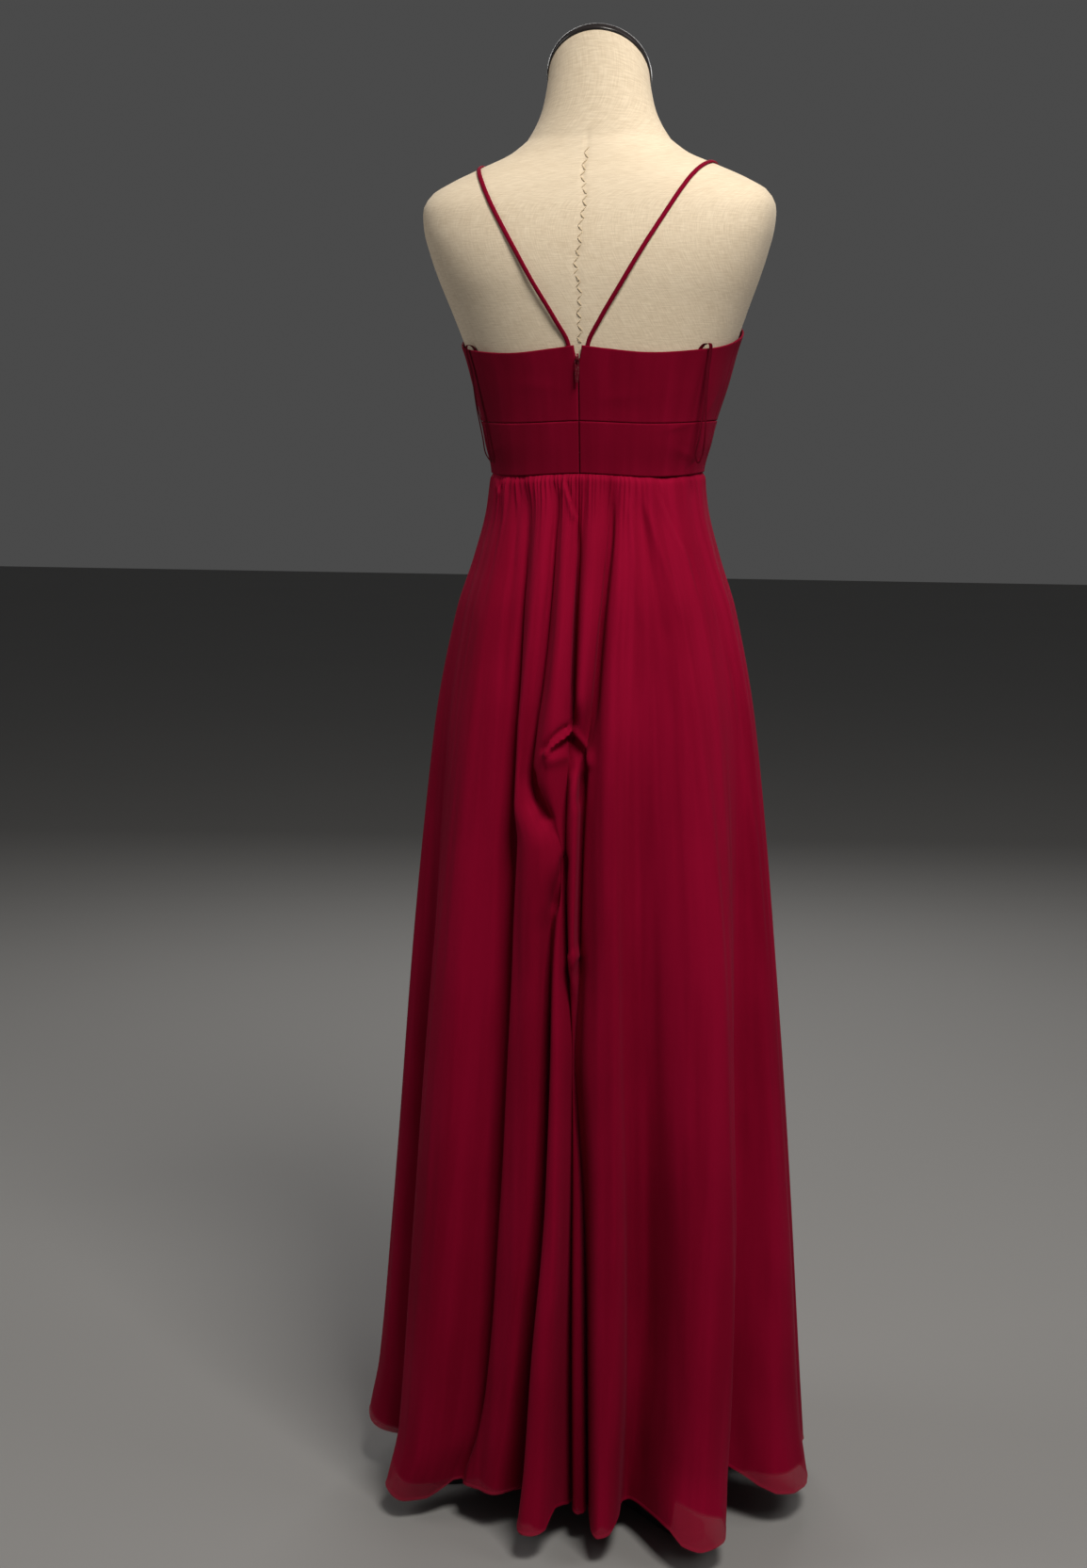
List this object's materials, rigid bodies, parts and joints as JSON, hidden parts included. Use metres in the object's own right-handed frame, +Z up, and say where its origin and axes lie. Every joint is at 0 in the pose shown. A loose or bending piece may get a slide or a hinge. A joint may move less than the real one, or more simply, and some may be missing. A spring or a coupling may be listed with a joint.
{
  "type": "chiffon prom dress on a dress form",
  "caption": "Floor-length gathered chiffon dress with spaghetti straps, fitted bodice, waistband and back zip, carried by a limbless linen dress form on a pole and a flat three-legged base.",
  "frame": {"origin": "on the floor under the pole, at the centre of the base's underside", "axes": "+Z up; the dress faces -Y and its zip is towards +Y; -X is the wearer's right"},
  "size_m": [0.5073, 0.4489, 1.6025],
  "materials": {
    "chiffon": "matte burgundy chiffon with a faint sheen",
    "ribbon": "thin satin ribbon",
    "zip_tape": "woven tape with a fine coil",
    "zip_metal": "enamelled to match the cloth",
    "linen": "natural slubby linen",
    "black_lacquer": "glossy black",
    "stand_metal": "satin black paint"
  },
  "bodies": {
    "root": {"skirt_back_left": "chiffon", "skirt_back_right": "chiffon", "skirt_front": "chiffon", "bodice_back_left": "chiffon", "bodice_back_right": "chiffon", "bodice_front": "chiffon", "waistband_back_left": "chiffon", "waistband_back_right": "chiffon", "waistband_front": "chiffon", "strap_left": "chiffon", "strap_right": "chiffon", "hanging_loop_left": "ribbon", "hanging_loop_right": "ribbon", "zip_tape": "zip_tape", "zip_slider": "zip_metal", "form_torso": "linen", "form_neck_cap": "black_lacquer", "stand_pole": "stand_metal", "stand_base": "stand_metal"},
    "pull": {"zip_pull": "zip_metal"}
  },
  "joints": [
    {"name": "zip_pull_hinge", "type": "hinge", "parent": "root", "child": "pull", "pos_m": [0, 0.1035, 1.2648], "axis": [1, 0, 0], "range_deg": [0, 165]}
  ]
}
